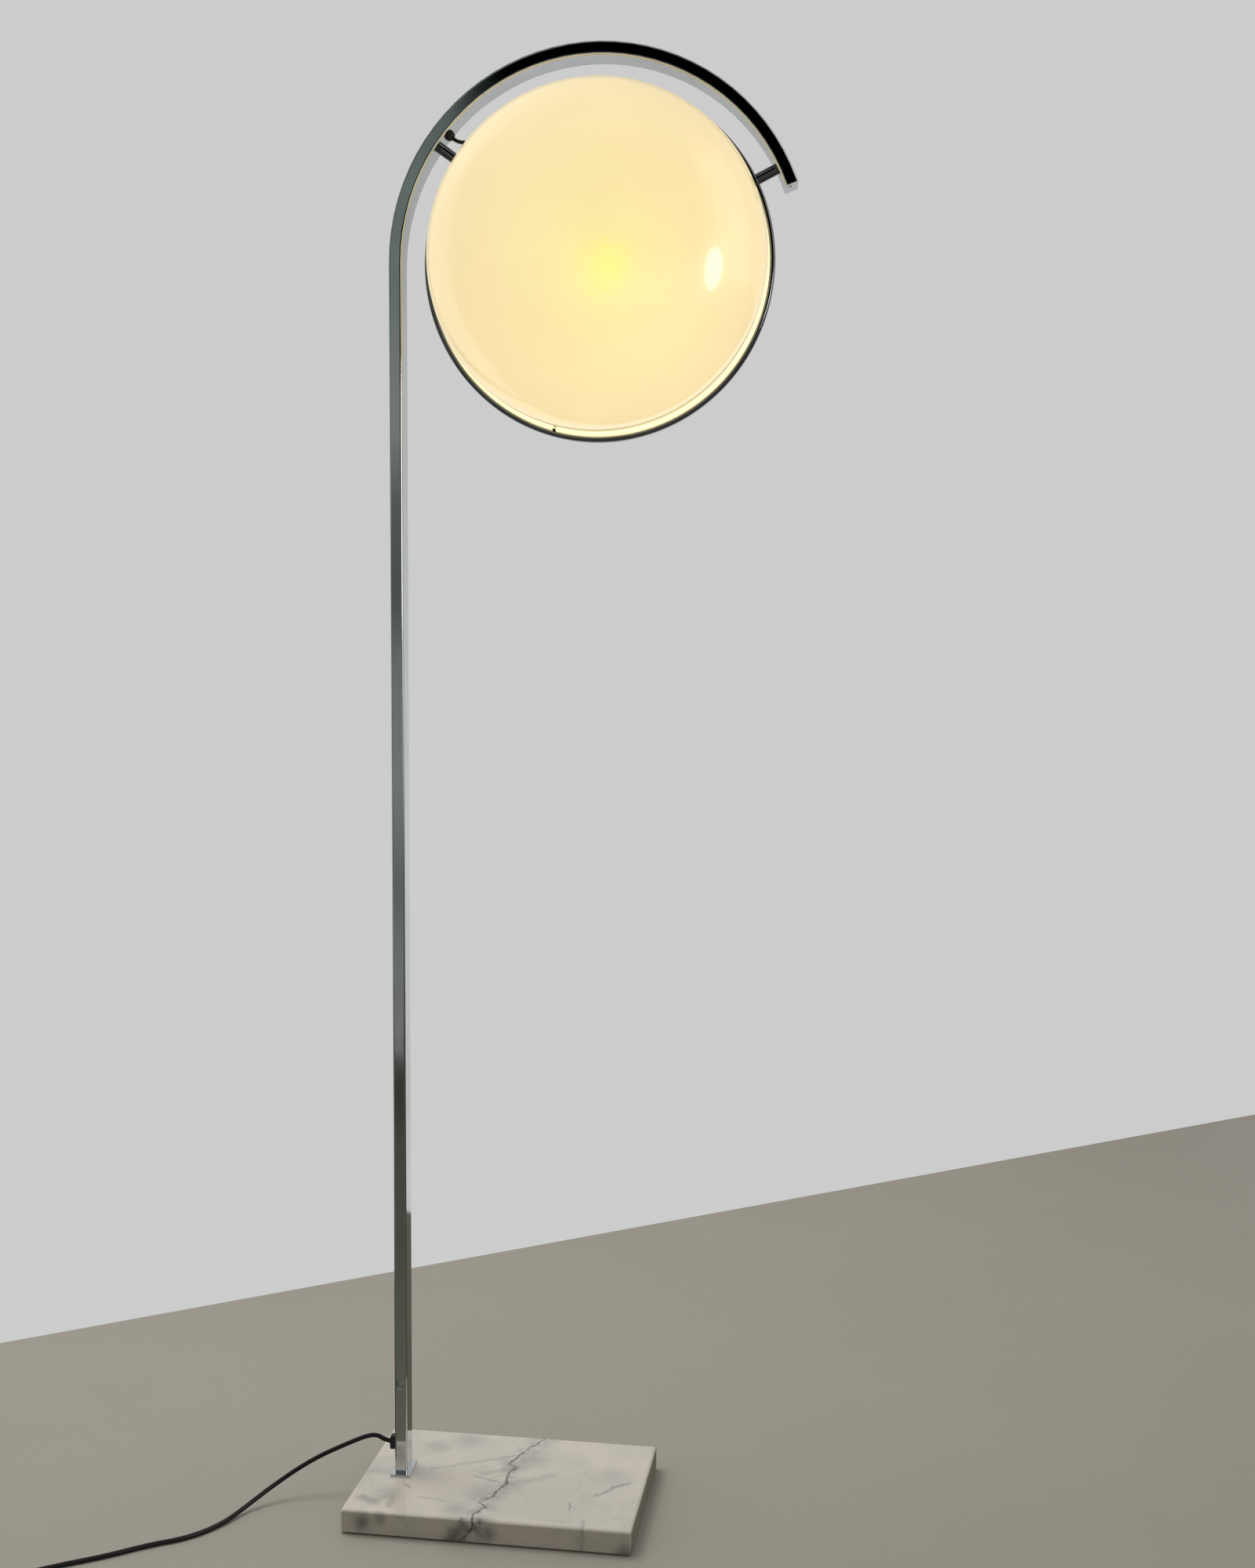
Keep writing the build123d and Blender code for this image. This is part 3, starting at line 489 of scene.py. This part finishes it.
finishes = {
    "marble": marble(),
    "felt": felt(),
    "chrome": plated("chrome_plate", srgb(199, 202, 203), srgb(188, 191, 190), 0.035, 0.05),
    "steel": brushed(),
    "black_steel": spring_steel(),
    "opal_acrylic": opal(),
    "brass": brass(),
    "black_plastic": moulded("black_thermoplastic", srgb(20, 20, 20), srgb(34, 33, 32), 2600.0, 0.4, 0.0001),
    "black_rubber": moulded("black_rubber", srgb(17, 17, 17), srgb(27, 26, 25), 1500.0, 0.58, 0.00008, 0.1),
    "black_pvc": moulded("black_pvc", srgb(15, 15, 15), srgb(25, 25, 24), 1100.0, 0.34, 0.00005),
    "ceramic": ceramic(),
    "bulb_glass": bulb_glass(),
    "aluminium": aluminium(),
}

# painted shade: the shade's ring and rods get a darker copy of the tube's chrome, standing in for the dark
# room that they reflect
shaded_chrome = plated("smoky_chrome_plate", srgb(128, 131, 132), srgb(112, 114, 114), 0.05, 0.05)
slot_of = {row["node"]: row["material_slot"] for row in frame["record"]["subparts"]}
for node_name, node_object in frame["nodes"].items():
    for material_slot in node_object.material_slots:
        if node_name in ("rod_left", "rod_right"):
            material_slot.material = shaded_chrome
        else:
            material_slot.material = finishes[slot_of[node_name]]

# ---------------------------------------------------------------- cord
route = [
    (-9, 0, 58.5), (-19, 0, 58.5), (-32, 0, 67), (-57, -1, 57.5), (-101, -9, 38.5),
    (-137, -29, 18.5), (-163, -60, 5), (-178, -94, 2.6), (-204, -125, 2.6), (-240, -143, 2.6),
    (-276, -169, 2.6), (-317, -191, 2.6), (-352, -214, 2.6), (-372, -243, 2.6), (-374, -270, 4.5),
    (-348, -290, 8), (-316.5, -290, 8),
]
tail = [(-249.5, -290, 8), (-223.5, -290, 8), (-204, -300, 5.5)]
end = [(-166, -306.5, 10.9), (-149, -300, 9.5), (-128, -297, 6.8), (-105, -297, 6.8)]

# seven turns lie in a bundle: one in the middle and six round it, a diameter apart
coil_centre = (-180.0, -275.0, 8.1)
coil_radius = 28.0
ring_sites = [
    (5.4 * math.cos(math.radians(a)), 5.4 * math.sin(math.radians(a))) for a in (270, 330, 210, 150, 90, 30)
]
sites = ring_sites[:2] + [(0.0, 0.0)] + ring_sites[2:]
per_turn = 15
turns = []
for step in range(1, 7 * per_turn):
    turn, part = divmod(step * 360.0 / per_turn, 360.0)
    turn = int(turn)
    change = min(max((part - (325.0 - 52.0 * turn)) / 50.0 + 0.5, 0.0), 1.0) if turn < 6 else 0.0
    here, nearby = sites[turn], sites[min(turn + 1, 6)]
    out = here[0] + (nearby[0] - here[0]) * change
    rise = here[1] + (nearby[1] - here[1]) * change
    angle = math.radians(part - 90.0)
    radius = (coil_radius + out) * 1.021
    turns.append(
        (
            coil_centre[0] + radius * math.cos(angle),
            coil_centre[1] + radius * math.sin(angle),
            coil_centre[2] + rise,
        )
    )
cord_points = [at(*p) for p in route + [(-283, -290, 8)] + tail + turns + end]


def nurbs(name, points, radius):
    """A round cord along one open NURBS spline."""
    data = bpy.data.curves.new(name, "CURVE")
    data.dimensions = "3D"
    data.bevel_depth = radius
    data.bevel_resolution = 5
    data.use_fill_caps = True
    spline = data.splines.new("NURBS")
    spline.points.add(len(points) - 1)
    for control, point in zip(spline.points, points):
        control.co = (*point, 1.0)
    spline.order_u = 3
    spline.use_endpoint_u = True
    spline.resolution_u = 8
    made = bpy.data.objects.new(name, data)
    scene.collection.objects.link(made)
    return made


cord_radius = 0.0025
cord = nurbs("mains_cord", cord_points, cord_radius)
cord.data.materials.append(finishes["black_pvc"])
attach(cord, "stand")
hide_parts("cord_run", "cord_tail", "cord_end", "cord_coil")


# ---------------------------------------------------------------- turned and moulded pieces
def lathe(name, body, finish, rings, centre, axis, steps=96, closed=True, shape=None):
    """Rings of (radius, distance along the axis) turned round it. A closed profile makes a hollow piece."""
    mesh = bmesh.new()
    turn = Vector(axis).to_track_quat("Z", "Y")
    loops = []
    for index, (radius, along) in enumerate(rings):
        loop = []
        for step in range(steps):
            angle = 2 * math.pi * step / steps
            r = radius if shape is None else shape(radius, along, angle, index)
            spot = turn @ Vector((r * math.cos(angle), r * math.sin(angle), along)) / 1000
            loop.append(mesh.verts.new(spot + centre))
        loops.append(loop)
    for first, second in zip(loops, loops[1:] + loops[:1] if closed else loops[1:]):
        for step in range(steps):
            after = (step + 1) % steps
            mesh.faces.new((first[step], first[after], second[after], second[step]))
    if not closed:
        mesh.faces.new(list(reversed(loops[0])))
        mesh.faces.new(loops[-1])
    bmesh.ops.recalc_face_normals(mesh, faces=mesh.faces)
    data = bpy.data.meshes.new(name)
    mesh.to_mesh(data)
    mesh.free()
    data.materials.append(finish)
    data.shade_smooth()
    data.set_sharp_from_angle(angle=math.radians(38))
    made = bpy.data.objects.new(name, data)
    scene.collection.objects.link(made)
    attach(made, body)
    return made


def middle(node):
    low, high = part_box(node)
    return (low + high) / 2


# rolled screw cap of the bulb, with its round thread, and the brass tip contact
cap_low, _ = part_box("bulb_cap")
cap_rings = [(12.3, 0.0), (13.1, 0.25), (13.15, 2.6)]
cap_rings += [(12.75, 2.9 + 0.3 * i) for i in range(49)]
cap_rings += [(12.2, 18.0), (10.6, 20.2), (8.6, 21.6), (7.4, 21.9)]


def rolled(radius, along, angle, index):
    if not 3 <= index < 52:
        return radius
    fade = min(1.0, (along - 2.9) / 2.0, (17.6 - along) / 2.0)
    return radius + 0.42 * max(fade, 0.0) * math.sin(2 * math.pi * along / 3.62 - angle)


cap_centre = middle("bulb_cap")
cap_centre.z = cap_low.z
screw_cap = lathe(
    "bulb_screw_cap", "bulb", finishes["aluminium"], cap_rings, cap_centre, (0, 0, 1),
    closed=False, shape=rolled,
)
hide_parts("bulb_cap")
button_low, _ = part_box("bulb_contact")
contact = middle("bulb_contact")
contact.z = button_low.z
solder = lathe(
    "bulb_tip_contact", "bulb", finishes["brass"],
    [(4.95, 0.0), (5.0, 0.8), (4.7, 1.3), (3.6, 1.75), (3.2, 2.2), (1.6, 2.4), (0.4, 2.4)],
    contact, (0, 0, 1), 48, False,
)
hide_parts("bulb_contact")

# ribbed, tapered sleeves where the cord enters and leaves the switch
sleeve_low, sleeve_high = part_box("switch_reliefs")
sleeve_y, sleeve_z = (sleeve_low.y + sleeve_high.y) / 2, (sleeve_low.z + sleeve_high.z) / 2
sleeve_rings = [(2.52, -0.4), (4.75, -0.4), (4.75, 1.6)]
for rib in range(6):
    outer = 4.55 - 0.2 * rib
    start = 2.2 + 2.9 * rib
    sleeve_rings += [(outer - 0.75, start), (outer - 0.75, start + 0.9)]
    sleeve_rings += [(outer, start + 1.2), (outer, start + 2.4)]
sleeve_rings += [(3.3, 19.6), (3.0, 20.0), (2.52, 20.0)]
sleeves = [
    lathe(
        f"cord_sleeve_{name}", "stand", finishes["black_rubber"], sleeve_rings,
        Vector((x, sleeve_y, sleeve_z)), (way, 0, 0), 40,
    )
    for name, x, way in (("in", sleeve_low.x + 0.020, -1), ("out", sleeve_high.x - 0.020, 1))
]
for sleeve in sleeves:
    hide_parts("switch_reliefs")

# insulating sleeves on the plug's pins
pin_low, pin_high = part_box("plug_pins")
pin_z = (pin_low.z + pin_high.z) / 2
pin_rings = [(2.0, 0.0), (2.12, 0.0), (2.12, 9.4), (2.0, 9.8)]
pin_length, pin_radius = 0.019, 0.002
for name, y in (("near", pin_low.y + pin_radius), ("far", pin_high.y - pin_radius)):
    lathe(
        f"pin_sleeve_{name}", "stand", finishes["black_plastic"], pin_rings,
        Vector((pin_high.x - pin_length, y, pin_z)), (1, 0, 0), 32,
    )

# smooth opal shells with the CAD's profile
dome_radius, dome_wall, skirt_end, rise_of_dome = 174.0, 3.0, 34.0, 84.0
round_steps = 288  # steps round the shells and the ring


def quarter(radius, rise):
    """The elliptical part, from the skirt to the nose."""
    steps = [math.radians(90 * i / 44) for i in range(45)]
    return [(max(radius * math.cos(a), 0.05), skirt_end + rise * math.sin(a)) for a in steps]


def cutter(start, way, profile, segments=24):
    """A closed turned tool that cuts a way: pairs of (distance from the start, radius), in metres."""
    mesh = bmesh.new()
    turn = way.to_track_quat("Z", "Y")
    loops = [
        [
            mesh.verts.new(start + turn @ Vector((radius * math.cos(a), radius * math.sin(a), along)))
            for a in (2 * math.pi * step / segments for step in range(segments))
        ]
        for along, radius in profile
    ]
    for first, second in zip(loops, loops[1:]):
        for step in range(segments):
            after = (step + 1) % segments
            mesh.faces.new((first[step], first[after], second[after], second[step]))
    mesh.faces.new(list(reversed(loops[0])))
    mesh.faces.new(loops[-1])
    data = bpy.data.meshes.new("cutter")
    mesh.to_mesh(data)
    mesh.free()
    made = bpy.data.objects.new("cutter", data)
    scene.collection.objects.link(made)
    return made


def carve(piece, cutters):
    """Cut the tools' ways out of a piece for good, and take the tools away."""
    for tool in cutters:
        change = piece.modifiers.new("cut", "BOOLEAN")
        change.operation = "DIFFERENCE"
        change.object = tool
    bpy.context.view_layer.update()
    data = bpy.data.meshes.new_from_object(piece.evaluated_get(bpy.context.evaluated_depsgraph_get()))
    piece.modifiers.clear()
    piece.data = data
    data.shade_smooth()
    data.set_sharp_from_angle(angle=math.radians(38))
    for tool in cutters:
        bpy.data.objects.remove(tool)


rim_rings = [
    (174.0, 20.0), (174.0, 6.7), (174.7, 6.7), (174.7, 7.5), (175.5, 7.5), (176.2, 7.2),
    (176.5, 6.5), (176.5, 1.5), (173.5, 1.5), (173.5, 4.5), (171.0, 4.5), (171.0, 20.0),
]
shell_rings = quarter(dome_radius, rise_of_dome)[::-1] + rim_rings
shell_rings += quarter(dome_radius - dome_wall, rise_of_dome - dome_wall)
lead_out = shade + Vector((-0.1382, 0.0, 0.1236))
lead_way = Vector((0.0239, 0.0, -0.0018))
for name, way, node_name in (("front", -1, "front_diffuser"), ("rear", 1, "rear_diffuser")):
    shell = lathe(
        f"opal_shell_{name}", f"{name}_dome", finishes["opal_acrylic"], shell_rings, shade,
        (0, way, 0), round_steps, False,
    )
    ways = [cutter(lead_out, lead_way, [(0.0, 0.0039), (0.024, 0.0039)])]
    for angle in (math.radians(-105), math.radians(75)):
        spot = shade + Vector((math.cos(angle), 0.0, math.sin(angle))) * 0.1765
        ways.append(cutter(spot, Vector((0.0, way, 0.0)), [(0.0, 0.0018), (0.009, 0.0018)], 12))
    carve(shell, ways)
    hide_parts(node_name)

# smooth ring with a rounded rim and a stop rib, drilled for the rods' screws and the lead
rim_round = [
    (179.0 + 3.0 * math.cos(math.radians(a)), 3.0 + 3.0 * math.sin(math.radians(a)))
    for a in range(90, -1, -15)
]
half_ring = [(170.0, 1.5), (177.0, 1.5), (177.0, 5.4), (177.2, 5.8), (177.6, 6.0)] + rim_round
ring = lathe(
    "ring_band", "stand", shaded_chrome, half_ring + [(r, -along) for r, along in half_ring[::-1]], shade,
    (0, 1, 0), round_steps,
)
ways = [cutter(lead_out, lead_way, [(-0.004, 0.0029), (0.024, 0.0029)])]
screw_way = [
    (0.0, 0.0065), (0.0089, 0.0065), (0.0089, 0.0047), (0.0093, 0.0047), (0.01135, 0.00265),
    (0.018, 0.00265),
]
for angle in (math.radians(144.5), math.radians(27.0)):
    spoke = Vector((math.cos(angle), 0.0, math.sin(angle)))
    ways.append(cutter(shade + spoke * 0.168, spoke, screw_way))
carve(ring, ways)
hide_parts("shade_ring")

# ---------------------------------------------------------------- floor, world and lamps
floor_mesh = bpy.data.meshes.new("floor")
# its back edge runs askew behind the lamp
floor_corners = [(-1.25, -0.05), (1.9, 2.15), (3.2, 1.2), (3.2, -3.4), (-3.4, -3.4), (-3.4, -1.6)]
floor_mesh.from_pydata([(pole.x + x, pole.y + y, 0.0) for x, y in floor_corners][::-1], [], [range(6)])
floor = bpy.data.objects.new("floor", floor_mesh)
scene.collection.objects.link(floor)
screed = Finish("pale_screed", Specular_IOR_Level=0.25)
smear = screed.noise(screed.place, 2.3, 5.0, 0.55)
speck = screed.noise(screed.place, 90.0, 3.0, 0.65)
screed_colour = screed.mix(smear, srgb(176, 170, 158), srgb(190, 185, 174))
screed_colour = screed.mix(screed.math("MULTIPLY", speck, 0.12), screed_colour, srgb(140, 134, 122))
screed.set(
    Base_Color=screed_colour,
    Roughness=screed.between(smear, 0.3, 0.7, 0.7, 0.85),
    Normal=screed.bump(speck, 0.15, 0.0015),
)
floor_mesh.materials.append(screed.owner)
floor.visible_glossy = False

# a wall that only polished surfaces see, where the room's wall stands behind the lamp
wall_line = [(-1600, -390), (-632, 375), (-102, 778), (271, 1056), (1385, 1785), (2700, 2560)]
wall_mesh = bpy.data.meshes.new("wall")
wall_mesh.from_pydata(
    [at(x, y, z) for x, y in wall_line for z in (0, 2300)],
    [],
    [(2 * i, 2 * i + 2, 2 * i + 3, 2 * i + 1) for i in range(len(wall_line) - 1)],
)
wall = bpy.data.objects.new("wall", wall_mesh)
scene.collection.objects.link(wall)
plaster = Tree(bpy.data.materials.new("plaster"))
plaster.nodes.remove(plaster.nodes["Principled BSDF"])
glow = plaster.node("Emission")
wall_place = plaster.node("TexCoord").outputs["Object"]
wall_height = plaster.split(wall_place)[2]
wall_shade = plaster.ramp(
    plaster.math("DIVIDE", wall_height, 2.3),
    (0.0, 0.72), (0.1, 0.66), (0.3, 0.72), (0.47, 0.66), (0.6, 0.60), (0.7, 0.50), (1.0, 0.42),
)
trowel = plaster.between(plaster.noise(wall_place, 1.4, 4.0, 0.5), 0.3, 0.7, 0.94, 1.04)
plaster.feed(glow.inputs["Color"], plaster.mix(1.0, wall_shade, trowel, "MULTIPLY"))
plaster.feed(plaster.nodes["Material Output"].inputs["Surface"], glow.outputs[0])
wall_mesh.materials.append(plaster.owner)
wall.visible_camera = False
wall.visible_diffuse = False
wall.visible_shadow = False
wall.visible_transmission = False

world = bpy.data.worlds.new("studio")
scene.world = world
w = Tree(world)
backdrop = w.nodes["Background"]
way = w.node("TexCoord").outputs["Generated"]
wx, wy, wz = w.split(way)
depth = w.math("MAXIMUM", w.math("ABSOLUTE", wy), 0.04)
slope = w.math("DIVIDE", wz, depth)
sweep = w.math("DIVIDE", wx, depth)
front_room = w.ramp(
    w.between(slope, -0.6, 0.6, smooth=False),
    (0.0, [0.17, 0.165, 0.14, 1.0]), (0.121, [0.165, 0.16, 0.12, 1.0]), (0.177, [0.14, 0.14, 0.10, 1.0]),
    (0.224, [0.11, 0.11, 0.085, 1.0]), (0.271, [0.095, 0.095, 0.075, 1.0]), (0.294, [0.06, 0.06, 0.045, 1.0]),
    (0.312, [0.06, 0.06, 0.045, 1.0]), (0.320, [0.27, 0.275, 0.27, 1.0]), (0.37, [0.24, 0.25, 0.245, 1.0]),
    (0.402, [0.175, 0.185, 0.18, 1.0]), (0.44, [0.25, 0.275, 0.27, 1.0]), (0.477, [0.275, 0.30, 0.295, 1.0]),
    (0.515, [0.21, 0.235, 0.23, 1.0]), (0.545, [0.12, 0.13, 0.125, 1.0]), (0.59, [0.14, 0.155, 0.15, 1.0]),
    (0.627, [0.29, 0.31, 0.29, 1.0]), (0.70, [0.23, 0.265, 0.26, 1.0]), (0.78, [0.18, 0.225, 0.215, 1.0]),
    (1.0, [0.14, 0.17, 0.17, 1.0]),
)
flag_left = w.between(sweep, -0.19, -0.148)
flag_low = w.between(slope, 0.09, 0.13)
front_room = w.mix(w.math("MULTIPLY", flag_left, flag_low), front_room, [0.0, 0.0, 0.0, 1.0])
sides = w.between(w.math("ABSOLUTE", sweep), 0.8, 1.6)
lit_side = w.math("MULTIPLY", w.between(wx, 0.2, 0.5), w.between(wz, -0.12, 0.0))
front_room = w.mix(sides, front_room, w.mix(lit_side, [0.08, 0.085, 0.09, 1.0], [0.95, 0.90, 0.80, 1.0]))
back_floor = w.ramp(
    w.between(slope, -0.6, -0.3, smooth=False),
    (0.0, [0.10, 0.09, 0.06, 1.0]), (1.0, [0.14, 0.135, 0.11, 1.0]),
)
back_room = w.mix(w.between(slope, -0.2, 0.0), back_floor, [0.5, 0.505, 0.5, 1.0])
room = w.mix(w.between(wy, -0.03, 0.03), front_room, back_room)
room = w.mix(w.between(wz, 0.62, 0.9), room, [0.3, 0.3, 0.3, 1.0])
bright_way = w.vector("DOT_PRODUCT", way, (-0.55, 0.15, 0.82))
ambient_share = w.between(bright_way, -0.9, 0.9, smooth=False)
ambient = w.mix(ambient_share, [0.05, 0.05, 0.048, 1.0], [0.52, 0.515, 0.50, 1.0])
rays = w.node("LightPath")
soft = w.mix(rays.outputs["Is Camera Ray"], ambient, [0.60, 0.605, 0.60, 1.0])
w.feed(backdrop.inputs["Color"], w.mix(rays.outputs["Is Glossy Ray"], soft, room))
backdrop.inputs["Strength"].default_value = 1.0


def area_light(name, place, target, size, power, shape="ELLIPSE", colour=(1.0, 1.0, 1.0)):
    data = bpy.data.lights.new(name, "AREA")
    data.shape = shape
    data.size, data.size_y = size
    data.energy = power
    data.color = colour
    made = bpy.data.objects.new(name, data)
    made.location = place
    made.rotation_euler = (Vector(target) - Vector(place)).to_track_quat("-Z", "Y").to_euler()
    made.visible_camera = False
    scene.collection.objects.link(made)
    return made


window = area_light("window", (2.188, -1.774, 1.433), (0.217, -0.084, 1.303), (0.58, 0.82), 6.0)
window.visible_diffuse = False
overhead = area_light("overhead", (-1.15, 0.55, 2.9), (-0.05, 0.0, 0.5), (1.5, 1.5), 26.0)
overhead.visible_glossy = False
